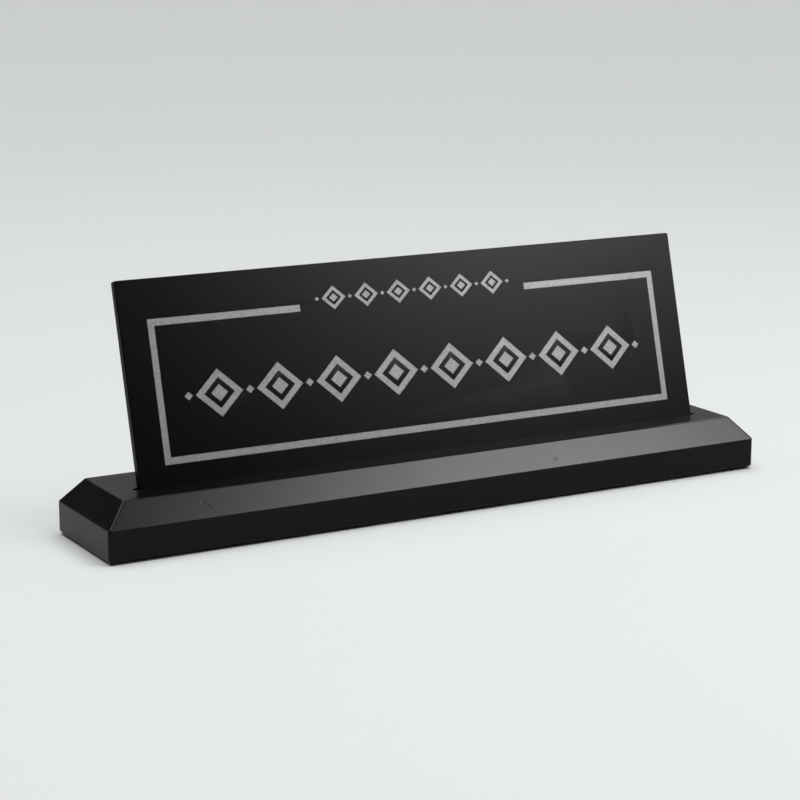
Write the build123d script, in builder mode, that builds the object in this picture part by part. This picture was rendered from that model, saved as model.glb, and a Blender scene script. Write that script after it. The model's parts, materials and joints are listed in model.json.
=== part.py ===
"""Desk name plate: a bevelled block with a slanted slot, and an engraved plate that leans back in the slot.

Units are millimetres and degrees. X runs along the block, +Y points to the back, +Z is up.
The origin is on the desk, under the middle of the block.
"""

import os
from math import cos, hypot, radians, sin

from build123d import *

# Base block
BASE_LENGTH = 254.0
BASE_DEPTH = 44.0
BASE_SIDE_HEIGHT = 9.7
FOOT_RISE = 1.3
FOOT_RUN_LONG = 1.3
FOOT_RUN_END = 0.8
BEVEL_RISE = 8.0
BEVEL_RUN_LONG = 5.6
BEVEL_RUN_END = 7.3
BASE_EDGE_RADIUS = 0.8

# Pad under the block
PAD_THICKNESS = 0.3
PAD_INSET = 2.5
PAD_CORNER_RADIUS = 2.5

# Plate
PLATE_LEAN = 15.0
PLATE_THICKNESS = 3.0
PLATE_SHOWN_HEIGHT = 67.7
PLATE_SETBACK = 15.0
PLATE_END_MARGIN = 17.3
PLATE_CORNER_RADIUS = 0.8
PLATE_EDGE_RADIUS = 0.35

# Slot that holds the plate, routed with a round cutter
SLOT_DEPTH = 8.5
SLOT_SIDE_CLEARANCE = 0.15
SLOT_END_CLEARANCE = 0.3

# Engraving in the plate's front, and the paint that fills it
ENGRAVING_DEPTH = 0.3
FILL_RECESS = 0.08

# Engraved border, measured from the plate's edges and from the top of the block
BORDER_LINE = 2.3
BORDER_SIDE_MARGIN = 9.7
BORDER_TOP_MARGIN = 13.35
BORDER_FOOT_MARGIN = 6.8
BORDER_GAP = 89.0

# Large row of lozenges, inside the border
LARGE_ROW_DROP = 2.4
LARGE_ROW_SIDE_MARGIN = 7.0
LARGE_PITCH = 22.2
LARGE_HALF_WIDTH = 8.6
LARGE_HALF_HEIGHT = 8.0
LARGE_STROKE = 2.1

# Small row of lozenges, in the gap of the border
SMALL_ROW_RISE = 2.5
SMALL_ROW_SIDE_MARGIN = 5.5
SMALL_PITCH = 12.6
SMALL_HALF_WIDTH = 4.6
SMALL_HALF_HEIGHT = 4.1
SMALL_STROKE = 1.15

# Shares of a lozenge that its solid core and the small link beside it take
CORE_SHARE = 0.36
LINK_SHARE = 0.18

# Heights and lengths that follow from the sizes above
BASE_BOTTOM = PAD_THICKNESS
SIDE_FOOT = BASE_BOTTOM + FOOT_RISE
BEVEL_FOOT = SIDE_FOOT + BASE_SIDE_HEIGHT
BASE_TOP = BEVEL_FOOT + BEVEL_RISE
PLATE_WIDTH = BASE_LENGTH - 2 * PLATE_END_MARGIN
PLATE_HEIGHT = PLATE_SHOWN_HEIGHT + SLOT_DEPTH
SLOT_WIDTH = PLATE_THICKNESS + 2 * SLOT_SIDE_CLEARANCE
FILL_THICKNESS = ENGRAVING_DEPTH - FILL_RECESS

# Plane of the plate's front face: it starts where the face leaves the block's top, and its Y runs up
LEAN = radians(PLATE_LEAN)
UP_THE_PLATE = (0, sin(LEAN), cos(LEAN))
OUT_OF_FACE = (0, -cos(LEAN), sin(LEAN))
FACE_FOOT = (0, PLATE_SETBACK - BASE_DEPTH / 2, BASE_TOP)
face_plane = Plane(origin=FACE_FOOT, x_dir=(1, 0, 0), z_dir=OUT_OF_FACE)
recess_floor = face_plane.offset(-ENGRAVING_DEPTH)

# Plane of the slot's floor, at the middle of the plate's thickness, facing up the plate
SLOT_FLOOR_MIDDLE = face_plane.from_local_coords((0, -SLOT_DEPTH, -PLATE_THICKNESS / 2))
slot_floor = Plane(origin=SLOT_FLOOR_MIDDLE, x_dir=(1, 0, 0), z_dir=UP_THE_PLATE)

# Places of the border and of the two rows, in the face plane
BORDER_WIDTH = PLATE_WIDTH - 2 * BORDER_SIDE_MARGIN
BORDER_TOP = PLATE_SHOWN_HEIGHT - BORDER_TOP_MARGIN
BORDER_HEIGHT = BORDER_TOP - BORDER_FOOT_MARGIN
BORDER_MIDDLE = BORDER_FOOT_MARGIN + BORDER_HEIGHT / 2
BORDER_TOP_LINE_MIDDLE = BORDER_TOP - BORDER_LINE / 2
LARGE_ROW_MIDDLE = BORDER_MIDDLE - LARGE_ROW_DROP
LARGE_ROW_ROOM = BORDER_WIDTH - 2 * BORDER_LINE - 2 * LARGE_ROW_SIDE_MARGIN
SMALL_ROW_MIDDLE = BORDER_TOP_LINE_MIDDLE + SMALL_ROW_RISE
SMALL_ROW_ROOM = BORDER_GAP - 2 * SMALL_ROW_SIDE_MARGIN


def lozenge(half_width, half_height, mode=Mode.ADD):
    """A lozenge standing on its point, in the sketch that is open."""
    Polygon((half_width, 0), (0, half_height), (-half_width, 0), (0, -half_height), mode=mode)


def border_lines(plane):
    """The border: a rectangular band, open where the small row stands."""
    with BuildSketch(plane) as lines:
        with Locations((0, BORDER_MIDDLE)):
            Rectangle(BORDER_WIDTH, BORDER_HEIGHT)
            Rectangle(BORDER_WIDTH - 2 * BORDER_LINE, BORDER_HEIGHT - 2 * BORDER_LINE, mode=Mode.SUBTRACT)
        with Locations((0, BORDER_TOP_LINE_MIDDLE)):
            Rectangle(BORDER_GAP, BORDER_LINE, mode=Mode.SUBTRACT)
    return lines.sketch


def lozenge_row(plane, middle, room, pitch, half_width, half_height, stroke):
    """A row of open lozenges with solid cores, as many as the room takes, with small links beside them."""
    link_half_width = LINK_SHARE * half_width
    count = max(1, int((room - 2 * link_half_width) / pitch))
    inner_share = 1 - stroke * hypot(half_width, half_height) / (half_width * half_height)
    with BuildSketch(plane) as row:
        with Locations((0, middle)):
            with GridLocations(pitch, pitch, count, 1):
                lozenge(half_width, half_height)
                lozenge(inner_share * half_width, inner_share * half_height, mode=Mode.SUBTRACT)
                lozenge(CORE_SHARE * half_width, CORE_SHARE * half_height)
            with GridLocations(pitch, pitch, count + 1, 1):
                lozenge(link_half_width, LINK_SHARE * half_height)
    return row.sketch


def large_row(plane):
    """The row inside the border."""
    size = (LARGE_HALF_WIDTH, LARGE_HALF_HEIGHT, LARGE_STROKE)
    return lozenge_row(plane, LARGE_ROW_MIDDLE, LARGE_ROW_ROOM, LARGE_PITCH, *size)


def small_row(plane):
    """The row in the border's gap."""
    size = (SMALL_HALF_WIDTH, SMALL_HALF_HEIGHT, SMALL_STROKE)
    return lozenge_row(plane, SMALL_ROW_MIDDLE, SMALL_ROW_ROOM, SMALL_PITCH, *size)


# Base block: a small bevel at the foot, upright sides, a large bevel at the top, eased edges and the slot
with BuildPart() as base_block:
    with BuildSketch(Plane.XY.offset(BASE_BOTTOM)):
        Rectangle(BASE_LENGTH - 2 * FOOT_RUN_END, BASE_DEPTH - 2 * FOOT_RUN_LONG)
    for height in (SIDE_FOOT, BEVEL_FOOT):
        with BuildSketch(Plane.XY.offset(height)):
            Rectangle(BASE_LENGTH, BASE_DEPTH)
    with BuildSketch(Plane.XY.offset(BASE_TOP)):
        Rectangle(BASE_LENGTH - 2 * BEVEL_RUN_END, BASE_DEPTH - 2 * BEVEL_RUN_LONG)
    loft(ruled=True)
    fillet(base_block.edges(), radius=BASE_EDGE_RADIUS)
    with BuildSketch(slot_floor):
        SlotCenterToCenter(PLATE_WIDTH + 2 * SLOT_END_CLEARANCE, SLOT_WIDTH)
    extrude(amount=SLOT_DEPTH + BASE_TOP, mode=Mode.SUBTRACT)
base_block.part.label = "base_block"

# Pad: a thin sheet stuck under the block, a little smaller than the block
with BuildPart() as base_pad:
    with BuildSketch():
        RectangleRounded(BASE_LENGTH - 2 * PAD_INSET, BASE_DEPTH - 2 * PAD_INSET, PAD_CORNER_RADIUS)
    extrude(amount=PAD_THICKNESS)
base_pad.part.label = "base_pad"

# Plate: a sheet with eased edges, standing on the slot's floor, engraved on its front
with BuildPart() as name_plate:
    with BuildSketch(face_plane):
        with Locations((0, (PLATE_SHOWN_HEIGHT - SLOT_DEPTH) / 2)):
            RectangleRounded(PLATE_WIDTH, PLATE_HEIGHT, PLATE_CORNER_RADIUS)
    extrude(amount=-PLATE_THICKNESS)
    back_to_front = name_plate.faces().sort_by(Axis(FACE_FOOT, OUT_OF_FACE))
    fillet(back_to_front[0].edges() + back_to_front[-1].edges(), radius=PLATE_EDGE_RADIUS)
    for marks in (border_lines(face_plane), large_row(face_plane), small_row(face_plane)):
        extrude(marks, amount=-ENGRAVING_DEPTH, mode=Mode.SUBTRACT)
name_plate.part.label = "name_plate"

# Paint that fills the engraving, a little below the plate's face
with BuildPart() as border_fill:
    extrude(border_lines(recess_floor), amount=FILL_THICKNESS)
border_fill.part.label = "border_fill"

with BuildPart() as large_row_fill:
    extrude(large_row(recess_floor), amount=FILL_THICKNESS)
large_row_fill.part.label = "large_row_fill"

with BuildPart() as small_row_fill:
    extrude(small_row(recess_floor), amount=FILL_THICKNESS)
small_row_fill.part.label = "small_row_fill"

os.makedirs("parts", exist_ok=True)
for piece in (base_block, base_pad, name_plate, border_fill, large_row_fill, small_row_fill):
    export_step(piece.part, f"parts/{piece.part.label}.step")
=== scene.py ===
"""Dresses a desk name plate: a lacquered block on felt, and a satin black sheet with silver engraving."""

import json
import math
from contextlib import contextmanager

import bmesh
import bpy
from bpy.props import FloatProperty, FloatVectorProperty, PointerProperty
from bpy.types import NodeSocket, Operator, Panel, PropertyGroup
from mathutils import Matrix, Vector


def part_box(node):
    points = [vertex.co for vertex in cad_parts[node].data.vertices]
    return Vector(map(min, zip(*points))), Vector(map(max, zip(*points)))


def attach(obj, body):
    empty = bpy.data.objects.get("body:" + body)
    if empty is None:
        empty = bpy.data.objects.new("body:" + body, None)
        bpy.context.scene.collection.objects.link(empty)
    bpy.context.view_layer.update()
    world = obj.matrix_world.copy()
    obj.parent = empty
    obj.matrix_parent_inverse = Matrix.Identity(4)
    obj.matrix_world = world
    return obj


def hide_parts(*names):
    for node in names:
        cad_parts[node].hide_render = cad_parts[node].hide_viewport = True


bl_info = {
    "name": "Desk Name Plate",
    "version": (1, 0, 0),
    "blender": (4, 5, 0),
    "location": "View3D > Sidebar > Name Plate",
    "description": "Models and finishes a desk name plate on its fixed frame, in a pale studio",
    "category": "Object",
}

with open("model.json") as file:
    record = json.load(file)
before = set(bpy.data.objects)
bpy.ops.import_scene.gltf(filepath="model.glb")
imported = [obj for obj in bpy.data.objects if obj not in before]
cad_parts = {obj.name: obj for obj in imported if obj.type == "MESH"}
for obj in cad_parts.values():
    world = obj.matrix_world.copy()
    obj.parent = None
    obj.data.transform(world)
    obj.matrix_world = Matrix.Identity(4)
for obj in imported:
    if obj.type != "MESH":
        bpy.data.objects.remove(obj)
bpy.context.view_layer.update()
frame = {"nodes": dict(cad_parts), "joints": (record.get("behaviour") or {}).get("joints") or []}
FILL_NODES = ("border_fill", "large_row_fill", "small_row_fill")
MM = 0.001

# Directions: along the block, upwards, up the leaning sheet, and out of the sheet's front
ALONG = Vector((1, 0, 0))
UPWARDS = Vector((0, 0, 1))
UP_SHEET = Vector(frame["joints"][0]["axis"]).normalized()
OUT_OF_SHEET = Vector((0, -UP_SHEET.z, UP_SHEET.y))
LEAN = math.atan2(UP_SHEET.y, UP_SHEET.z)

# Cosine above which two directions count as one, and distance below which two points do
SAME_WAY = 0.99
TOUCHING = 0.001 * MM

# Fineness and shading of the meshes
SMOOTH_ANGLE = math.radians(35)
FLAT_FACE_WEIGHT = 100
BLOCK_EDGE_SEGMENTS = 4
SLOT_CUTTER_SIDES = 46
SLOT_RIM_SEGMENTS = 3
SHEET_CORNER_SEGMENTS = 8
SHEET_EDGE_SEGMENTS = 4
PAD_CORNER_SEGMENTS = 6
PAD_EDGE_SEGMENTS = 3
FLOOR_SIDES = 128
SWEEP_STEPS = 16
FLAG_SIDES = 96

# Grain: its detail, and the values between which nearly all of it lies
GRAIN_DETAIL = 2.0
GRAIN_LOW = 0.3
GRAIN_HIGH = 0.7

# Share of a speck that is solid before it fades
SPECK_CORE = 0.4

# Rubbed edges: samples of the rounding, and cosines of its turn where rubbing starts and is full
RUB_SAMPLES = 6
RUB_STARTS = 0.995
RUB_FULL = 0.9

# Felt fibres: turns of their layers in radians, and the heights of the lowest and highest fibres, which also
# set the felt's painted shade and painted light
FIBRE_TURNS = (0.5, 1.6, 2.7)
FIBRE_LOW = 0.5
FIBRE_HIGH = 0.75

BLACK = (0, 0, 0)


def span(node, direction):
    """Lowest and highest reach of a frame node along a direction, in metres."""
    reach = [vertex.co.dot(direction) for vertex in frame["nodes"][node].data.vertices]
    return min(reach), max(reach)


def length_property(name, description, default):
    """A size in metres that a user may change."""
    limits = {"min": 0, "precision": 5}
    return FloatProperty(name=name, description=description, default=default, unit="LENGTH", **limits)


def share_property(name, description, default):
    """A share from 0 to 1 that a user may change."""
    limits = {"min": 0, "max": 1}
    return FloatProperty(name=name, description=description, default=default, subtype="FACTOR", **limits)


def factor_property(name, description, default):
    """A factor or strength that a user may change."""
    return FloatProperty(name=name, description=description, default=default, min=0)


def angle_property(name, description, degrees):
    """An angle that a user may change."""
    angle = math.radians(degrees)
    return FloatProperty(name=name, description=description, default=angle, subtype="ANGLE")


def turn_property(name, description, default):
    """A turn round the three axes, in radians, that a user may change."""
    return FloatVectorProperty(name=name, description=description, default=default, subtype="EULER")


def power_property(name, description, default):
    """A lamp's power in watts that a user may change."""
    return FloatProperty(name=name, description=description, default=default, min=0, unit="POWER")


def place_property(name, description, default):
    """A point in metres that a user may change."""
    kind = {"subtype": "TRANSLATION", "unit": "LENGTH", "precision": 5}
    return FloatVectorProperty(name=name, description=description, default=default, **kind)


def colour_property(name, description, default):
    """A linear colour that a user may change."""
    kind = {"subtype": "COLOR", "size": 3, "min": 0, "max": 1}
    return FloatVectorProperty(name=name, description=description, default=default, **kind)


class NamePlateSizes(PropertyGroup):
    """Sizes of the pieces that the frame doesn't give."""

    foot_rise: length_property("Foot rise", "Height of the small bevel at the block's foot", 1.3 * MM)
    foot_run_long: length_property("Long foot run", "How far the front and back foot bevels run in", 1.3 * MM)
    foot_run_end: length_property("End foot run", "How far the end foot bevels run in", 0.8 * MM)
    bevel_rise: length_property("Bevel rise", "Height of the large bevel at the block's top", 8 * MM)
    bevel_run_long: length_property("Long bevel run", "How far the front and back bevels run in", 5.6 * MM)
    bevel_run_end: length_property("End bevel run", "How far the end bevels run in", 7.3 * MM)
    block_edge_radius: length_property("Block edge radius", "Radius of the block's eased edges", 0.8 * MM)
    corner_radius: length_property("Corner radius", "Radius of the upright edges and the mitres", 1.3 * MM)
    slot_side_clearance: length_property("Slot side clearance", "Gap between sheet and slot wall", 0.15 * MM)
    slot_end_clearance: length_property("Slot end clearance", "Straight gap past the sheet's ends", 0.3 * MM)
    slot_rim_radius: length_property("Slot rim radius", "Radius of the slot's eased rim", 0.15 * MM)
    sheet_corner_radius: length_property("Sheet corner radius", "Radius of the sheet's corners", 0.8 * MM)
    sheet_edge_radius: length_property("Sheet edge radius", "Radius of the sheet's eased edges", 0.35 * MM)
    pad_corner_radius: length_property("Pad corner radius", "Radius of the pad's corners", 2.5 * MM)
    pad_edge_radius: length_property("Pad edge radius", "Radius of the pad's soft edges", 0.1 * MM)


class NamePlateLacquer(PropertyGroup):
    """Black gloss lacquer of the block."""

    colour: colour_property("Colour", "Colour of the lacquer", (0.002, 0.002, 0.002))
    dark_shade: factor_property("Dark shade", "Darkest shade, as a factor of the colour", 0.8)
    light_shade: factor_property("Light shade", "Lightest shade, as a factor of the colour", 1.3)
    specular: share_property("Specular", "Specular level of the lacquer", 0.128)
    smoothest: share_property("Smoothest", "Lowest roughness of clean lacquer", 0.245)
    roughest: share_property("Roughest", "Highest roughness of clean lacquer", 0.285)
    peel_size: length_property("Peel size", "Size of the soft ripples", 2.2 * MM)
    peel_depth: length_property("Peel depth", "Depth of the soft ripples", 0.003 * MM)
    dust_spacing: length_property("Dust spacing", "Distance between the places for specks", 5 * MM)
    dust_size: length_property("Dust size", "Size of a speck of dust", 0.16 * MM)
    dust_share: share_property("Dust share", "Share of the places that hold a speck", 0.3)
    dust_cover: share_property("Dust cover", "How far a speck hides the lacquer", 0.5)
    hairline_turn: turn_property("Hairline turn", "Turn of the hairlines", (0.3, 0.5, 0.9))
    hairline_shape: share_property("Hairline shape", "Width of a hairline as a share of its length", 0.07)
    hairline_spacing: length_property("Hairline spacing", "Distance between the places for hairlines", 6 * MM)
    hairline_width: length_property("Hairline width", "Width of a hairline", 0.1 * MM)
    hairline_share: share_property("Hairline share", "Share of the places that hold a hairline", 0.3)
    hairline_depth: length_property("Hairline depth", "Depth of a hairline", 0.0008 * MM)
    hairline_haze: share_property("Hairline haze", "Roughness that a hairline adds", 0.06)
    rub_reach: length_property("Rub reach", "How far rubbing reaches from an edge", 1.1 * MM)
    rub_grain: length_property("Rub grain", "Size of the grain that breaks up the rubbing", 1.5 * MM)
    rub_cover: share_property("Rub cover", "How far rubbing hides the lacquer", 0.2)
    rub_haze: share_property("Rub haze", "Roughness that rubbing adds", 0.08)
    scuff_start: place_property("Scuff start", "One end of the scuff", (-0.0934, -0.0188, 0.0159))
    scuff_end: place_property("Scuff end", "Other end of the scuff", (-0.0912, -0.02, 0.0141))
    scuff_width: length_property("Scuff width", "Width of the scuff on the front bevel", 1.2 * MM)
    scuff_depth: length_property("Scuff depth", "Depth of the scuff", 0.052 * MM)
    scuff_haze: share_property("Scuff haze", "Roughness that the scuff adds", 0.1)
    spot_place: place_property("Spot place", "Middle of the dull spot", (0.0411, -0.0203, 0.0138))
    spot_width: length_property("Spot width", "Width of the dull spot on the front bevel", 2.2 * MM)
    spot_haze: share_property("Spot haze", "Roughness that the dull spot adds", 0.17)


class NamePlateSheet(PropertyGroup):
    """Satin black of the engraved sheet."""

    colour: colour_property("Colour", "Colour of the sheet", (0.002, 0.002, 0.002))
    dark_shade: factor_property("Dark shade", "Darkest shade, as a factor of the colour", 0.7)
    light_shade: factor_property("Light shade", "Lightest shade, as a factor of the colour", 1.4)
    specular: share_property("Specular", "Specular level of the sheet", 0.036)
    smoothest: share_property("Smoothest", "Lowest roughness under the smudges", 0.205)
    roughest: share_property("Roughest", "Highest roughness under the smudges", 0.235)
    grain_size: length_property("Grain size", "Size of the satin grain", 0.4 * MM)
    grain_depth: length_property("Grain depth", "Depth of the satin grain", 0.001 * MM)
    grain_haze: share_property("Grain haze", "Roughness that the grain adds or takes away", 0.02)
    dust_spacing: length_property("Dust spacing", "Distance between the places for specks", 7 * MM)
    dust_size: length_property("Dust size", "Size of a speck of dust", 0.14 * MM)
    dust_share: share_property("Dust share", "Share of the places that hold a speck", 0.25)
    dust_cover: share_property("Dust cover", "How far a speck hides the sheet", 0.3)
    rub_reach: length_property("Rub reach", "How far rubbing reaches from an edge", 0.5 * MM)
    rub_grain: length_property("Rub grain", "Size of the grain that breaks up the rubbing", 1.2 * MM)
    rub_cover: share_property("Rub cover", "How far rubbing hides the sheet", 0.15)


class NamePlateSilver(PropertyGroup):
    """Silver-grey fill of the engraving."""

    colour: colour_property("Colour", "Colour of the fill", (0.185, 0.185, 0.178))
    dark_shade: factor_property("Dark shade", "Darkest shade, as a factor of the colour", 0.72)
    light_shade: factor_property("Light shade", "Lightest shade, as a factor of the colour", 1.25)
    specular: share_property("Specular", "Specular level of the fill", 0.15)
    metallic: share_property("Metallic", "How metallic the fill is", 0.12)
    smoothest: share_property("Smoothest", "Roughness of the lightest grains", 0.3)
    roughest: share_property("Roughest", "Roughness of the darkest grains", 0.46)
    grain_size: length_property("Grain size", "Size of the fill's grain", 0.5 * MM)
    grain_depth: length_property("Grain depth", "Depth of the fill's grain", 0.03 * MM)
    pit_spacing: length_property("Pit spacing", "Distance between the places for pits", 1.4 * MM)
    pit_size: length_property("Pit size", "Size of a pit", 0.3 * MM)
    pit_share: share_property("Pit share", "Share of the places that hold a pit", 0.5)
    # A pit is painted darker as shade, since the mesh has no hollow there
    painted_pit_shade_cover: share_property("Pit cover", "How far a pit hides the fill", 0.45)
    painted_pit_shade: factor_property("Pit shade", "Shade of a pit, as a factor of the colour", 0.3)


class NamePlateFelt(PropertyGroup):
    """Pressed black felt of the pad."""

    colour: colour_property("Colour", "Colour of the felt", (0.006, 0.006, 0.0065))
    # The felt's two shades are painted shade on the lowest fibres and painted light on the highest
    dark_shade: factor_property("Dark shade", "Shade of the lowest fibres, as a factor of the colour", 0.6)
    light_shade: factor_property("Light shade", "Shade of the highest fibres, as a factor of the colour", 2.2)
    sheen: share_property("Sheen", "Strength of the felt's sheen", 0.3)
    smoothest: share_property("Smoothest", "Lowest roughness of the tufts", 0.85)
    roughest: share_property("Roughest", "Highest roughness of the tufts", 1.0)
    fibre_size: length_property("Fibre size", "Width of a fibre", 0.25 * MM)
    fibre_shape: share_property("Fibre shape", "Width of a fibre as a share of its length", 0.2)
    fibre_depth: length_property("Fibre depth", "Depth of the tangle of fibres", 0.15 * MM)
    tuft_size: length_property("Tuft size", "Size of the tufts", 2 * MM)
    tuft_shadow: share_property("Tuft shadow", "How far tufts darken the felt", 0.4)


class NamePlateWear(PropertyGroup):
    """Wear that the lacquer and the sheet share."""

    dust_colour: colour_property("Dust colour", "Colour of dust and rubbed edges", (0.05, 0.05, 0.05))
    smudge_size: length_property("Smudge size", "Size of the soft smudges from handling", 22 * MM)


class NamePlateStage(PropertyGroup):
    """Camera, floor and lights."""

    camera_azimuth: angle_property("Azimuth", "Camera's turn round the block", -29.641)
    camera_elevation: angle_property("Elevation", "Camera's height angle", 12.521)
    camera_distance: length_property("Distance", "From the camera to the point it aims at", 0.78532)
    camera_aim: place_property("Aim", "Point at the picture's middle", (0, 0.01731, 0.032166))
    lens: factor_property("Lens", "Focal length in millimetres", 100.174)
    floor_colour: colour_property("Floor", "Colour of floor and backdrop", (0.797, 0.816, 0.824))
    floor_radius: length_property("Floor radius", "Radius of the flat floor", 1.0)
    sweep_radius: length_property("Sweep radius", "Radius of the curve up to the backdrop", 3.0)
    sweep_height: length_property("Sweep height", "Height at which the backdrop ends", 0.72)
    flag_radius: length_property("Flag radius", "Distance of the dark flag in front", 1.2)
    flag_height: length_property("Flag height", "Height of the dark flag in front", 0.9)
    key_power: power_property("Key power", "Power of the soft key light", 1.2)
    key_radius: length_property("Key radius", "Radius of the soft key light", 0.3)
    key_place: place_property("Key place", "Middle of the key light", (0.3, -0.33, 0.66))
    key_aim: place_property("Key aim", "Point that the key light and the glow face", (0.05, -0.01, 0.04))
    glow_power: power_property("Glow power", "Power of the glow that the gloss mirrors", 41.0)
    glow_radius: length_property("Glow radius", "Radius of the glow that the gloss mirrors", 0.38)
    glow_softness: length_property("Glow softness", "Width over which the glow fades", 0.1017)
    glow_place: place_property("Glow place", "Middle of the glow", (0.2816, -0.3073, 0.2928))
    top_power: power_property("Top power", "Power of the light above", 20.8)
    top_side: length_property("Top side", "Side of the square light above", 2.5)
    top_height: length_property("Top height", "Height of the light above", 2.2)
    sky_power: power_property("Sky power", "Power of the panel that the rounded edges mirror", 33.0)
    sky_side: length_property("Sky side", "Side of the square panel that the rounded edges mirror", 1.3)
    sky_place: place_property("Sky place", "Middle of the square panel", (-0.42, 0.3, 2.2))
    rear_power: power_property("Rear power", "Power of the panel that the block's back mirrors", 36.0)
    rear_width: length_property("Rear width", "Width of the panel that the block's back mirrors", 2.2)
    rear_depth: length_property("Rear depth", "Depth of the panel that the block's back mirrors", 0.5)
    rear_place: place_property("Rear place", "Middle of the rear panel", (1.0, 1.3, 1.5))
    room_power: power_property("Room power", "Power of the wide light high above", 147.0)
    room_side: length_property("Room side", "Side of the wide light high above", 6.0)
    room_height: length_property("Room height", "Height of the wide light high above", 4.0)
    world_strength: factor_property("World", "Strength of the room's own light", 0.01)


class NamePlateSettings(PropertyGroup):
    """All settings of the name plate."""

    sizes: PointerProperty(type=NamePlateSizes)
    lacquer: PointerProperty(type=NamePlateLacquer)
    sheet: PointerProperty(type=NamePlateSheet)
    silver: PointerProperty(type=NamePlateSilver)
    felt: PointerProperty(type=NamePlateFelt)
    wear: PointerProperty(type=NamePlateWear)
    stage: PointerProperty(type=NamePlateStage)


def deselect_all():
    """Leaves nothing selected."""
    bpy.ops.object.select_all(action="DESELECT")


def named_piece(name):
    """Names the object that was just added, and puts its place and turn into its mesh."""
    piece = bpy.context.active_object
    piece.name = piece.data.name = name
    bpy.ops.object.transform_apply(location=True, rotation=True, scale=True)
    return piece


@contextmanager
def edit_mode(piece):
    """Edits one piece's mesh."""
    bpy.context.view_layer.objects.active = piece
    bpy.ops.object.mode_set(mode="EDIT")
    yield
    bpy.ops.object.mode_set(mode="OBJECT")


def select(piece, kind, wanted):
    """Selects the vertices, edges or faces of a piece in edit mode that pass a test, and nothing else."""
    bpy.ops.mesh.select_mode(type=kind)
    bpy.ops.mesh.select_all(action="DESELECT")
    mesh = bmesh.from_edit_mesh(piece.data)
    for element in {"VERT": mesh.verts, "EDGE": mesh.edges, "FACE": mesh.faces}[kind]:
        if wanted(element):
            element.select_set(True)
    bmesh.update_edit_mesh(piece.data)


def runs_along(edge, direction):
    """True if an edge is parallel to a direction."""
    return abs((edge.verts[1].co - edge.verts[0].co).normalized().dot(direction)) > SAME_WAY


def looks_along(face, direction):
    """True if a face looks along a direction."""
    return face.normal.dot(direction) > SAME_WAY


def bounds_face_towards(edge, direction):
    """True if an edge has a flat face on one side only that looks along a direction, or against it."""
    ways = (direction, -direction)
    return sum(any(looks_along(face, way) for way in ways) for face in edge.link_faces) == 1


def apply_modifier(piece, kind, **settings):
    """Adds a modifier to a piece, sets it and applies it."""
    bpy.context.view_layer.objects.active = piece
    bpy.ops.object.modifier_add(type=kind)
    modifier = piece.modifiers[-1]
    for name, value in settings.items():
        setattr(modifier, name, value)
    bpy.ops.object.modifier_apply(modifier=modifier.name)


def cut(piece, cutter):
    """Takes a cutter's shape out of a piece, and removes the cutter."""
    apply_modifier(piece, "BOOLEAN", object=cutter, operation="DIFFERENCE", solver="EXACT")
    bpy.data.objects.remove(cutter)


def smooth_over_flat_faces(piece):
    """Smooths the eased edges of a piece and keeps its flat faces flat."""
    deselect_all()
    piece.select_set(True)
    bpy.context.view_layer.objects.active = piece
    bpy.ops.object.shade_smooth_by_angle(angle=SMOOTH_ANGLE)
    apply_modifier(piece, "WEIGHTED_NORMAL", keep_sharp=True, weight=FLAT_FACE_WEIGHT)


def ease_edges(piece, radius_of, segments):
    """Rounds every edge of a piece to its own radius, however sharply its faces turn."""
    mesh = bmesh.new()
    mesh.from_mesh(piece.data)
    widths = [radius_of(edge) * math.tan(edge.calc_face_angle(0) / 2) for edge in mesh.edges]
    mesh.free()
    widest = max(widths)
    weights = piece.data.attributes.new("bevel_weight_edge", "FLOAT", "EDGE")
    weights.data.foreach_set("value", [width / widest for width in widths])
    apply_modifier(piece, "BEVEL", width=widest, segments=segments, limit_method="WEIGHT")
    piece.data.attributes.remove(piece.data.attributes["bevel_weight_edge"])


def model_block(sizes):
    """The bevelled block with its slanted slot."""
    low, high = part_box("base_block")
    middle = (low + high) / 2
    size = high - low
    side_foot = low.z + sizes.foot_rise
    side_top = high.z - sizes.bevel_rise
    bevels = (
        (1, sizes.bevel_rise, sizes.bevel_run_end, sizes.bevel_run_long),
        (-1, sizes.foot_rise, sizes.foot_run_end, sizes.foot_run_long),
    )
    deselect_all()
    bpy.ops.mesh.primitive_cube_add(
        size=1,
        location=(middle.x, middle.y, (side_foot + side_top) / 2),
        scale=(size.x, size.y, side_top - side_foot),
    )
    block = named_piece("lacquered_block")
    with edit_mode(block):
        for way, rise, run_end, run_long in bevels:
            select(block, "FACE", lambda face: looks_along(face, way * UPWARDS))
            bpy.ops.mesh.extrude_region_move(TRANSFORM_OT_translate={"value": (0, 0, way * rise)})
            share = (1 - 2 * run_end / size.x, 1 - 2 * run_long / size.y, 1)
            bpy.ops.transform.resize(value=share, center_override=middle)

    def edge_radius(edge):
        foot, head = sorted(vertex.co.z for vertex in edge.verts)
        at_corner = head - foot > sizes.bevel_rise / 2
        return sizes.corner_radius if at_corner else sizes.block_edge_radius

    ease_edges(block, edge_radius, BLOCK_EDGE_SEGMENTS)
    cut_slot(block, sizes, high.z)
    smooth_over_flat_faces(block)
    return block


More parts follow.
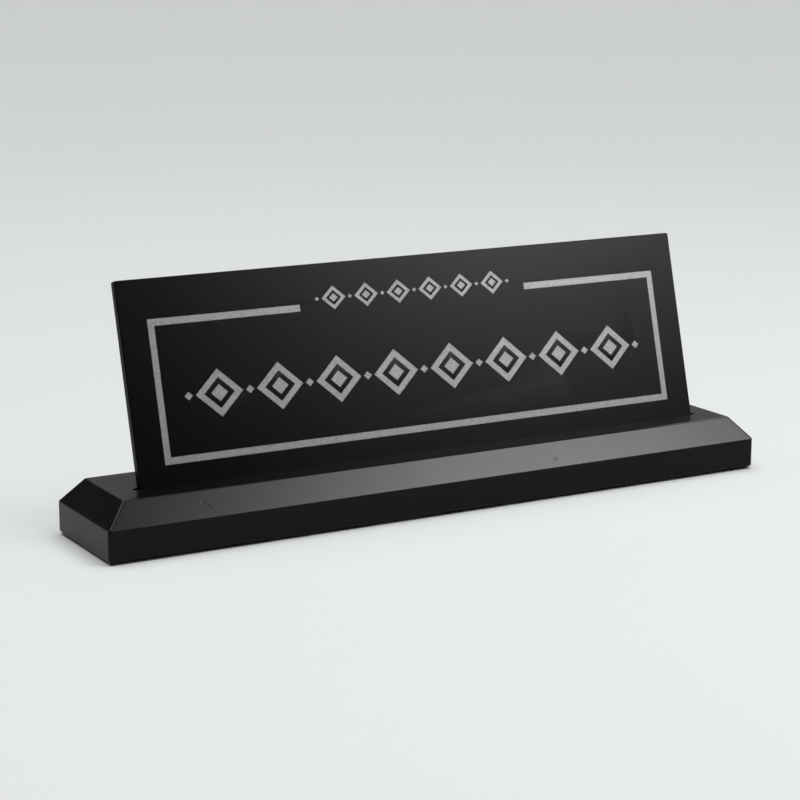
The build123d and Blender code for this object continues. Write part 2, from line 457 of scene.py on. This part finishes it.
def cut_slot(block, sizes, top):
    """Routs the slot for the sheet into the block's top and eases its rim."""
    left, right = span("name_plate", ALONG)
    foot = span("name_plate", UP_SHEET)[0]
    back, front = span("name_plate", OUT_OF_SHEET)
    middle = (back + front) / 2
    radius = (front - back) / 2 + sizes.slot_side_clearance
    half_run = (right - left) / 2 + sizes.slot_end_clearance
    # The cutter is as long as the block is high, so it comes out past the top
    cutter_length = top
    deselect_all()
    bpy.ops.mesh.primitive_cylinder_add(
        vertices=SLOT_CUTTER_SIDES,
        radius=radius,
        depth=cutter_length,
        location=UP_SHEET * (foot + cutter_length / 2) + OUT_OF_SHEET * middle,
        rotation=(-LEAN, 0, 0),
    )
    cutter = named_piece("slot_cutter")
    with edit_mode(cutter):
        for side in (-1, 1):
            select(cutter, "VERT", lambda vertex: 0 < side * vertex.co.x <= radius)
            bpy.ops.transform.translate(value=(side * half_run, 0, 0))
    cut(block, cutter)

    def on_rim(vertex):
        across = abs(vertex.co.dot(OUT_OF_SHEET) - middle)
        past_run = abs(vertex.co.x) - half_run
        return max(across, past_run) < radius + TOUCHING and abs(vertex.co.z - top) < TOUCHING

    with edit_mode(block):
        select(block, "EDGE", lambda edge: all(on_rim(vertex) for vertex in edge.verts))
        bpy.ops.mesh.bevel(offset=sizes.slot_rim_radius, segments=SLOT_RIM_SEGMENTS, affect="EDGES")


def model_sheet(sizes):
    """The leaning sheet with eased edges and its engraving cut in."""
    left, right = span("name_plate", ALONG)
    foot, top = span("name_plate", UP_SHEET)
    back, front = span("name_plate", OUT_OF_SHEET)
    middle = ALONG * (left + right) / 2 + UP_SHEET * (foot + top) / 2 + OUT_OF_SHEET * (back + front) / 2
    deselect_all()
    bpy.ops.mesh.primitive_cube_add(
        size=1, location=middle, rotation=(-LEAN, 0, 0), scale=(right - left, front - back, top - foot)
    )
    sheet = named_piece("engraved_sheet")
    with edit_mode(sheet):
        select(sheet, "EDGE", lambda edge: runs_along(edge, OUT_OF_SHEET))
        bpy.ops.mesh.bevel(offset=sizes.sheet_corner_radius, segments=SHEET_CORNER_SEGMENTS, affect="EDGES")
        select(sheet, "EDGE", lambda edge: bounds_face_towards(edge, OUT_OF_SHEET))
        bpy.ops.mesh.bevel(offset=sizes.sheet_edge_radius, segments=SHEET_EDGE_SEGMENTS, affect="EDGES")
    cut(sheet, engraving_cutter(front))
    smooth_over_flat_faces(sheet)
    return sheet


def engraving_cutter(face_reach):
    """A cutter in the shape of the fills, raised by twice their recess so that it passes the sheet's face."""
    deselect_all()
    for node in FILL_NODES:
        frame["nodes"][node].select_set(True)
    bpy.ops.object.duplicate()
    bpy.context.view_layer.objects.active = bpy.context.selected_objects[0]
    bpy.ops.object.join()
    cutter = bpy.context.active_object
    recess = face_reach - span(FILL_NODES[0], OUT_OF_SHEET)[1]
    with edit_mode(cutter):
        bpy.ops.mesh.select_all(action="SELECT")
        bpy.ops.mesh.remove_doubles(threshold=TOUCHING)
        select(cutter, "FACE", lambda face: looks_along(face, OUT_OF_SHEET))
        bpy.ops.transform.translate(value=2 * recess * OUT_OF_SHEET)
    return cutter


def model_pad(sizes):
    """The felt pad under the block, with round corners and soft edges."""
    low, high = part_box("base_pad")
    deselect_all()
    bpy.ops.mesh.primitive_cube_add(size=1, location=(low + high) / 2, scale=high - low)
    pad = named_piece("felt_pad")
    with edit_mode(pad):
        select(pad, "EDGE", lambda edge: runs_along(edge, UPWARDS))
        bpy.ops.mesh.bevel(offset=sizes.pad_corner_radius, segments=PAD_CORNER_SEGMENTS, affect="EDGES")
        select(pad, "EDGE", lambda edge: bounds_face_towards(edge, UPWARDS))
        bpy.ops.mesh.bevel(offset=sizes.pad_edge_radius, segments=PAD_EDGE_SEGMENTS, affect="EDGES")
    smooth_over_flat_faces(pad)
    return pad


def put(tree, socket, value):
    """Links a socket to another, or sets its value."""
    if isinstance(value, NodeSocket):
        tree.links.new(value, socket)
    else:
        socket.default_value = value


def fill_in(tree, node, **inputs):
    """Sets or links a node's inputs by name, with underscores for spaces."""
    for name, value in inputs.items():
        put(tree, node.inputs[name.replace("_", " ")], value)


def add_node(tree, kind, settings=None, **inputs):
    """Adds a shader node, sets its options, and sets or links its inputs by name."""
    made = tree.nodes.new(kind)
    for name, value in (settings or {}).items():
        setattr(made, name, value)
    fill_in(tree, made, **inputs)
    return made


def new_material(name):
    """An empty material with a Principled shader, and its node tree."""
    material = bpy.data.materials.new(name)
    material.use_nodes = True
    return material, material.node_tree, material.node_tree.nodes["Principled BSDF"]


def opaque(colour):
    """A colour with full alpha."""
    return (*colour, 1.0)


def shade_of(colour, factor):
    """A lighter or darker shade of a colour."""
    return opaque(factor * channel for channel in colour)


def math_node(tree, operation, *values):
    """The result of a math node."""
    made = add_node(tree, "ShaderNodeMath", {"operation": operation})
    for socket, value in zip(made.inputs, values):
        put(tree, socket, value)
    return made.outputs["Value"]


def times(tree, value, factor):
    """A value times a factor."""
    return math_node(tree, "MULTIPLY", value, factor)


def plus(tree, first, second):
    """The sum of two values."""
    return math_node(tree, "ADD", first, second)


def larger(tree, first, second):
    """The larger of two values."""
    return math_node(tree, "MAXIMUM", first, second)


def vector_math(tree, operation, output, *values):
    """A result of a vector math node."""
    made = add_node(tree, "ShaderNodeVectorMath", {"operation": operation})
    for socket, value in zip(made.inputs, values):
        put(tree, socket, value)
    return made.outputs[output]


def spread(tree, value, low=0.0, high=1.0, start=GRAIN_LOW, end=GRAIN_HIGH):
    """Spreads a value that runs from start to end, as grain does, over a range."""
    limits = {"From_Min": start, "From_Max": end, "To_Min": low, "To_Max": high}
    return add_node(tree, "ShaderNodeMapRange", Value=value, **limits).outputs["Result"]


def lay_over(tree, share, under, over):
    """Lays one colour over another by a share."""
    mix = add_node(tree, "ShaderNodeMix", {"data_type": "RGBA"})
    # Several sockets of this node share a name, so the ones for colours are found by number
    for number, value in ((0, share), (6, under), (7, over)):
        put(tree, mix.inputs[number], value)
    return mix.outputs[2]


def relief(tree, height):
    """A normal that follows a height in metres."""
    return add_node(tree, "ShaderNodeBump", Height=height, Distance=1.0).outputs["Normal"]


def new_group(name, given, made):
    """A shader node group with named inputs and one output, and the sockets inside it."""
    tree = bpy.data.node_groups.new(name, "ShaderNodeTree")
    for label, kind in given.items():
        tree.interface.new_socket(label, in_out="INPUT", socket_type=f"NodeSocket{kind}")
    tree.interface.new_socket(made, in_out="OUTPUT", socket_type="NodeSocketFloat")
    return tree, tree.nodes.new("NodeGroupInput").outputs, tree.nodes.new("NodeGroupOutput").inputs[made]


def use_group(tree, name, **inputs):
    """The output of a node group that is placed in a node tree with its own values."""
    return add_node(tree, "ShaderNodeGroup", {"node_tree": bpy.data.node_groups[name]}, **inputs).outputs[0]


def make_grain_group():
    """Soft grain of one size, about one half."""
    tree, given, grain = new_group("soft_grain", {"Vector": "Vector", "Size": "Float"}, "Grain")
    scale = math_node(tree, "DIVIDE", 1.0, given["Size"])
    noise = add_node(tree, "ShaderNodeTexNoise", Vector=given["Vector"], Scale=scale, Detail=GRAIN_DETAIL)
    put(tree, grain, noise.outputs["Fac"])


def make_specks_group():
    """Scattered specks, which are hairlines where the coordinates are drawn out."""
    inputs = {"Vector": "Vector", "Spacing": "Float", "Size": "Float", "Share": "Float"}
    tree, given, mask = new_group("scattered_specks", inputs, "Mask")
    scale = math_node(tree, "DIVIDE", 1.0, given["Spacing"])
    cells = add_node(tree, "ShaderNodeTexVoronoi", Vector=given["Vector"], Scale=scale)
    draw = add_node(tree, "ShaderNodeSeparateColor", Color=cells.outputs["Color"]).outputs["Red"]
    reach = math_node(tree, "DIVIDE", given["Size"], given["Spacing"])
    near = spread(tree, cells.outputs["Distance"], 1.0, 0.0, times(tree, reach, SPECK_CORE), reach)
    put(tree, mask, times(tree, near, math_node(tree, "LESS_THAN", draw, given["Share"])))


def make_edges_group():
    """Edges that hands and cloths rub, broken up by grain."""
    inputs = {"Vector": "Vector", "Radius": "Float", "Grain Size": "Float"}
    tree, given, mask = new_group("rubbed_edges", inputs, "Mask")
    rounded = add_node(tree, "ShaderNodeBevel", {"samples": RUB_SAMPLES}, Radius=given["Radius"])
    plain = add_node(tree, "ShaderNodeNewGeometry").outputs["True Normal"]
    turn = vector_math(tree, "DOT_PRODUCT", "Value", rounded.outputs["Normal"], plain)
    edge = spread(tree, turn, start=RUB_STARTS, end=RUB_FULL)
    grain = grain_on(tree, given["Vector"], given["Grain Size"])
    put(tree, mask, times(tree, edge, spread(tree, grain)))


def make_mark_group():
    """A short mark between two points, or a spot where they are one."""
    inputs = {"Vector": "Vector", "Start": "Vector", "End": "Vector", "Width": "Float"}
    tree, given, mask = new_group("short_mark", inputs, "Mask")
    run = vector_math(tree, "SUBTRACT", "Vector", given["End"], given["Start"])
    offset = vector_math(tree, "SUBTRACT", "Vector", given["Vector"], given["Start"])
    along = vector_math(tree, "DOT_PRODUCT", "Value", offset, run)
    whole = vector_math(tree, "DOT_PRODUCT", "Value", run, run)
    share = spread(tree, math_node(tree, "DIVIDE", along, whole), start=0.0, end=1.0)
    scaled = add_node(tree, "ShaderNodeVectorMath", {"operation": "SCALE"}, Vector=run, Scale=share)
    away = vector_math(tree, "DISTANCE", "Value", offset, scaled.outputs["Vector"])
    half_width = times(tree, given["Width"], 0.5)
    put(tree, mask, spread(tree, away, 1.0, 0.0, 0.0, half_width))


def make_shared_effects():
    """Builds the node groups that the finishes share."""
    make_grain_group()
    make_specks_group()
    make_edges_group()
    make_mark_group()


def grain_on(tree, place, size):
    """Soft grain of one size."""
    return use_group(tree, "soft_grain", Vector=place, Size=size)


def specks_on(tree, place, spacing, size, share):
    """Specks in a share of the places where one could be."""
    return use_group(tree, "scattered_specks", Vector=place, Spacing=spacing, Size=size, Share=share)


def dust_on(tree, place, finish):
    """Dust on a finish."""
    return specks_on(tree, place, finish.dust_spacing, finish.dust_size, finish.dust_share)


def rubbing_on(tree, place, finish):
    """Rubbed edges of a finish."""
    return use_group(tree, "rubbed_edges", Vector=place, Radius=finish.rub_reach, Grain_Size=finish.rub_grain)


def mark_on(tree, place, start, end, width):
    """A short mark between two points."""
    return use_group(tree, "short_mark", Vector=place, Start=start, End=end, Width=width)


def object_coordinates(tree):
    """Coordinates of the piece itself."""
    return add_node(tree, "ShaderNodeTexCoord").outputs["Object"]


def drawn_out(tree, place, turn, shape):
    """Coordinates that are turned and drawn out, so that specks on them get the shape of hairlines."""
    mapping = add_node(tree, "ShaderNodeMapping", Vector=place, Rotation=turn, Scale=(shape, 1, 1))
    return mapping.outputs["Vector"]


def shaded(tree, share, finish):
    """The colour of a finish, from its dark shade to its light one by a share."""
    dark = shade_of(finish.colour, finish.dark_shade)
    light = shade_of(finish.colour, finish.light_shade)
    return lay_over(tree, share, dark, light)


def worn(tree, colour, rubbing, dust, finish, wear):
    """A colour under the rubbing and the dust of a finish."""
    cover = larger(tree, times(tree, rubbing, finish.rub_cover), times(tree, dust, finish.dust_cover))
    return lay_over(tree, cover, colour, opaque(wear.dust_colour))


def lacquer_material(lacquer, wear):
    """Black lacquer with soft ripples, smudges, dust, hairlines, a scuff, a dull spot and rubbed edges."""
    material, tree, shader = new_material("black_lacquer")
    place = object_coordinates(tree)
    peel = grain_on(tree, place, lacquer.peel_size)
    smudge = grain_on(tree, place, wear.smudge_size)
    dust = dust_on(tree, place, lacquer)
    rubbing = rubbing_on(tree, place, lacquer)
    lengthwise = drawn_out(tree, place, lacquer.hairline_turn, lacquer.hairline_shape)
    hairline_size = (lacquer.hairline_spacing, lacquer.hairline_width, lacquer.hairline_share)
    hairline = specks_on(tree, lengthwise, *hairline_size)
    scuff = mark_on(tree, place, lacquer.scuff_start, lacquer.scuff_end, lacquer.scuff_width)
    spot = mark_on(tree, place, lacquer.spot_place, lacquer.spot_place, lacquer.spot_width)

    colour = worn(tree, shaded(tree, spread(tree, smudge), lacquer), rubbing, dust, lacquer, wear)
    mark_haze = larger(tree, times(tree, scuff, lacquer.scuff_haze), times(tree, spot, lacquer.spot_haze))
    roughness = spread(tree, smudge, lacquer.smoothest, lacquer.roughest)
    roughness = plus(tree, roughness, times(tree, hairline, lacquer.hairline_haze))
    roughness = plus(tree, roughness, times(tree, rubbing, lacquer.rub_haze))
    roughness = plus(tree, roughness, mark_haze)
    dents = plus(tree, times(tree, hairline, lacquer.hairline_depth), times(tree, scuff, lacquer.scuff_depth))
    height = math_node(tree, "SUBTRACT", times(tree, peel, lacquer.peel_depth), dents)
    fill_in(tree, shader, Base_Color=colour, Roughness=roughness, Normal=relief(tree, height))
    fill_in(tree, shader, Specular_IOR_Level=lacquer.specular)
    return material


def sheet_material(sheet, wear):
    """Satin black sheet with fine grain, smudges, a little dust and rubbed edges."""
    material, tree, shader = new_material("satin_black_sheet")
    place = object_coordinates(tree)
    grain = grain_on(tree, place, sheet.grain_size)
    smudge = grain_on(tree, place, wear.smudge_size)
    dust = dust_on(tree, place, sheet)
    rubbing = rubbing_on(tree, place, sheet)

    colour = worn(tree, shaded(tree, spread(tree, grain), sheet), rubbing, dust, sheet, wear)
    roughness = spread(tree, smudge, sheet.smoothest, sheet.roughest)
    roughness = plus(tree, roughness, spread(tree, grain, -sheet.grain_haze, sheet.grain_haze))
    height = times(tree, grain, sheet.grain_depth)
    fill_in(tree, shader, Base_Color=colour, Roughness=roughness, Normal=relief(tree, height))
    fill_in(tree, shader, Specular_IOR_Level=sheet.specular)
    return material


def silver_material(silver):
    """Frosted silver-grey fill with coarse grain, and small pits painted darker as shade."""
    material, tree, shader = new_material("silver_fill")
    place = object_coordinates(tree)
    grain = grain_on(tree, place, silver.grain_size)
    pit_shade_mask = specks_on(tree, place, silver.pit_spacing, silver.pit_size, silver.pit_share)

    # Painted shade: pits are darkened in colour only, with no hollow in the mesh
    painted_pit_shade_colour = shade_of(silver.colour, silver.painted_pit_shade)
    grained = shaded(tree, spread(tree, grain), silver)
    colour = lay_over(tree, times(tree, pit_shade_mask, silver.painted_pit_shade_cover), grained, painted_pit_shade_colour)
    roughness = spread(tree, grain, silver.roughest, silver.smoothest)
    height = times(tree, grain, silver.grain_depth)
    fill_in(tree, shader, Base_Color=colour, Roughness=roughness, Normal=relief(tree, height))
    fill_in(tree, shader, Specular_IOR_Level=silver.specular, Metallic=silver.metallic)
    return material


def felt_material(felt):
    """Pressed black felt with tangled fibres, painted darker as shade where they lie low and lighter where
    they stand high.
    """
    material, tree, shader = new_material("felt")
    place = object_coordinates(tree)
    fibres = FIBRE_LOW
    for turn in FIBRE_TURNS:
        lengthwise = drawn_out(tree, place, (0, 0, turn), felt.fibre_shape)
        fibres = larger(tree, fibres, grain_on(tree, lengthwise, felt.fibre_size))
    tuft = grain_on(tree, place, felt.tuft_size)

    # Low fibres are painted dark as shade and high fibres painted light, by the same heights as the relief
    fibre_painted_shade_and_light = shaded(tree, spread(tree, fibres, start=FIBRE_LOW, end=FIBRE_HIGH), felt)
    colour = lay_over(tree, spread(tree, tuft, high=felt.tuft_shadow), fibre_painted_shade_and_light, opaque(BLACK))
    roughness = spread(tree, tuft, felt.smoothest, felt.roughest)
    height = times(tree, fibres, felt.fibre_depth)
    fill_in(tree, shader, Base_Color=colour, Roughness=roughness, Normal=relief(tree, height))
    fill_in(tree, shader, Sheen_Weight=felt.sheen)
    return material


def dull_material(name, colour):
    """A plain, dull surface of the stage, with no gloss."""
    material, tree, shader = new_material(name)
    fill_in(tree, shader, Base_Color=opaque(colour), Roughness=1.0, Specular_IOR_Level=0.0)
    return material


def give_material(piece, material):
    """Puts one material on a piece."""
    piece.data.materials.clear()
    piece.data.materials.append(material)


class NAMEPLATE_OT_block(Operator):
    """Model the lacquered block in place of its solid"""

    bl_idname = "nameplate.block"
    bl_label = "Lacquered Block"

    def execute(self, context):
        settings = context.scene.name_plate
        block = model_block(settings.sizes)
        give_material(block, lacquer_material(settings.lacquer, settings.wear))
        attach(block, "base")
        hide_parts("base_block")
        return {"FINISHED"}


class NAMEPLATE_OT_pad(Operator):
    """Model the felt pad in place of its solid"""

    bl_idname = "nameplate.pad"
    bl_label = "Felt Pad"

    def execute(self, context):
        settings = context.scene.name_plate
        pad = model_pad(settings.sizes)
        give_material(pad, felt_material(settings.felt))
        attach(pad, "base")
        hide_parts("base_pad")
        return {"FINISHED"}


class NAMEPLATE_OT_sheet(Operator):
    """Model the engraved sheet in place of its solid"""

    bl_idname = "nameplate.sheet"
    bl_label = "Engraved Sheet"

    def execute(self, context):
        settings = context.scene.name_plate
        sheet = model_sheet(settings.sizes)
        give_material(sheet, sheet_material(settings.sheet, settings.wear))
        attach(sheet, "plate")
        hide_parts("name_plate")
        return {"FINISHED"}


class NAMEPLATE_OT_fills(Operator):
    """Finish the silver fills of the engraving"""

    bl_idname = "nameplate.fills"
    bl_label = "Silver Fills"

    def execute(self, context):
        material = silver_material(context.scene.name_plate.silver)
        for node in FILL_NODES:
            give_material(frame["nodes"][node], material)
        return {"FINISHED"}


def model_sweep(stage):
    """A round floor that curves up to a low backdrop on every side."""
    deselect_all()
    bpy.ops.mesh.primitive_circle_add(vertices=FLOOR_SIDES, radius=stage.floor_radius, fill_type="TRIFAN")
    sweep = named_piece("studio_sweep")
    last_angle = math.acos(1 - stage.sweep_height / stage.sweep_radius)
    with edit_mode(sweep):
        select(sweep, "EDGE", lambda edge: edge.is_boundary)
        radius, height = stage.floor_radius, 0
        for step in range(1, SWEEP_STEPS + 1):
            angle = last_angle * step / SWEEP_STEPS
            next_radius = stage.floor_radius + stage.sweep_radius * math.sin(angle)
            next_height = stage.sweep_radius * (1 - math.cos(angle))
            bpy.ops.mesh.extrude_edges_move(TRANSFORM_OT_translate={"value": (0, 0, next_height - height)})
            grow = next_radius / radius
            bpy.ops.transform.resize(value=(grow, grow, 1), center_override=(0, 0, next_height))
            radius, height = next_radius, next_height
    deselect_all()
    sweep.select_set(True)
    bpy.ops.object.shade_smooth()
    return sweep


def model_flag(stage):
    """A dark curved card in front and to the right, which only the gloss sees."""
    deselect_all()
    bpy.ops.mesh.primitive_circle_add(vertices=FLAG_SIDES, radius=stage.flag_radius)
    flag = named_piece("dark_flag")
    left_end = -stage.flag_radius / 2
    with edit_mode(flag):
        select(flag, "VERT", lambda vertex: vertex.co.y > 0 or vertex.co.x < left_end)
        bpy.ops.mesh.delete(type="VERT")
        bpy.ops.mesh.select_all(action="SELECT")
        bpy.ops.mesh.extrude_edges_move(TRANSFORM_OT_translate={"value": (0, 0, stage.flag_height)})
    flag.visible_camera = flag.visible_diffuse = flag.visible_shadow = False
    return flag


def add_lamp(name, place, aim, power, shape, width, depth=0.0, on_diffuse=True, in_gloss=True):
    """An area light that faces a point and that the camera doesn't see."""
    light = bpy.data.lights.new(name, "AREA")
    light.shape = shape
    light.size = width
    light.size_y = depth
    light.energy = power
    lamp = bpy.data.objects.new(name, light)
    lamp.location = place
    lamp.rotation_euler = (Vector(aim) - Vector(place)).to_track_quat("-Z", "Y").to_euler()
    lamp.visible_camera = False
    lamp.visible_diffuse = on_diffuse
    lamp.visible_glossy = in_gloss
    bpy.context.scene.collection.objects.link(lamp)
    return lamp


def soften(lamp, width):
    """Fades a lamp from its middle outwards, as a bell curve does."""
    lamp.data.use_nodes = True
    tree = lamp.data.node_tree
    place = add_node(tree, "ShaderNodeNewGeometry").outputs["Position"]
    away = vector_math(tree, "DISTANCE", "Value", place, lamp.location)
    fade = math_node(tree, "EXPONENT", times(tree, math_node(tree, "POWER", away, 2.0), -0.5 / width**2))
    put(tree, tree.nodes["Emission"].inputs["Strength"], fade)


def add_lights(stage):
    """The lights: two light only surfaces, three show only in gloss, and the top light does both."""
    key_size, glow_size = 2 * stage.key_radius, 2 * stage.glow_radius
    rear_size = (stage.rear_width, stage.rear_depth)
    above, far_above = (0, 0, stage.top_height), (0, 0, stage.room_height)
    foot = (0, 0, 0)
    surfaces_only = {"in_gloss": False}
    gloss_only = {"on_diffuse": False}
    aim = stage.key_aim
    add_lamp("key_light", stage.key_place, aim, stage.key_power, "DISK", key_size, **surfaces_only)
    glow = add_lamp("key_card", stage.glow_place, aim, stage.glow_power, "DISK", glow_size, **gloss_only)
    soften(glow, stage.glow_softness)
    add_lamp("top_light", above, foot, stage.top_power, "SQUARE", stage.top_side)
    add_lamp("sky_panel", stage.sky_place, foot, stage.sky_power, "SQUARE", stage.sky_side, **gloss_only)
    add_lamp("rear_panel", stage.rear_place, foot, stage.rear_power, "RECTANGLE", *rear_size, **gloss_only)
    add_lamp("room_light", far_above, foot, stage.room_power, "SQUARE", stage.room_side, **surfaces_only)


def add_world(stage):
    """The room's own dim light."""
    world = bpy.data.worlds.new("dim_room")
    bpy.context.scene.world = world
    world.use_nodes = True
    background = world.node_tree.nodes["Background"]
    fill_in(world.node_tree, background, Color=opaque(stage.floor_colour), Strength=stage.world_strength)


def add_camera(stage):
    """The camera, turned round the point that it aims at."""
    turn, rise = stage.camera_azimuth, stage.camera_elevation
    back = Vector((math.sin(turn) * math.cos(rise), -math.cos(turn) * math.cos(rise), math.sin(rise)))
    camera = bpy.data.objects.new("camera", bpy.data.cameras.new("camera"))
    camera.data.lens = stage.lens
    camera.location = Vector(stage.camera_aim) + back * stage.camera_distance
    camera.rotation_euler = (-back).to_track_quat("-Z", "Y").to_euler()
    bpy.context.scene.collection.objects.link(camera)
    bpy.context.scene.camera = camera


class NAMEPLATE_OT_stage(Operator):
    """Set the pale floor, the soft lights and the camera"""

    bl_idname = "nameplate.stage"
    bl_label = "Studio Stage"

    def execute(self, context):
        stage = context.scene.name_plate.stage
        sweep = model_sweep(stage)
        give_material(sweep, dull_material("pale_floor", stage.floor_colour))
        flag = model_flag(stage)
        give_material(flag, dull_material("flag_cloth", BLACK))
        add_lights(stage)
        add_world(stage)
        add_camera(stage)
        context.scene.view_settings.view_transform = "Standard"
        return {"FINISHED"}


class NAMEPLATE_PT_panel(Panel):
    """Buttons for the pieces and the stage"""

    bl_label = "Name Plate"
    bl_space_type = "VIEW_3D"
    bl_region_type = "UI"
    bl_category = "Name Plate"

    def draw(self, context):
        for operator in OPERATORS:
            self.layout.operator(operator.bl_idname)


FINISHES = (NamePlateLacquer, NamePlateSheet, NamePlateSilver, NamePlateFelt, NamePlateWear)
GROUPS = (NamePlateSizes, *FINISHES, NamePlateStage, NamePlateSettings)
OPERATORS = (NAMEPLATE_OT_block, NAMEPLATE_OT_pad, NAMEPLATE_OT_sheet, NAMEPLATE_OT_fills, NAMEPLATE_OT_stage)
CLASSES = (*GROUPS, *OPERATORS, NAMEPLATE_PT_panel)


def register():
    """Registers the classes and the scene's settings."""
    for cls in CLASSES:
        bpy.utils.register_class(cls)
    bpy.types.Scene.name_plate = PointerProperty(type=NamePlateSettings)


def unregister():
    """Removes what register added."""
    del bpy.types.Scene.name_plate
    for cls in reversed(CLASSES):
        bpy.utils.unregister_class(cls)


def main():
    """Makes every piece and the stage, in order."""
    register()
    make_shared_effects()
    bpy.ops.nameplate.block()
    bpy.ops.nameplate.pad()
    bpy.ops.nameplate.sheet()
    bpy.ops.nameplate.fills()
    bpy.ops.nameplate.stage()


if __name__ == "__main__":
    main()
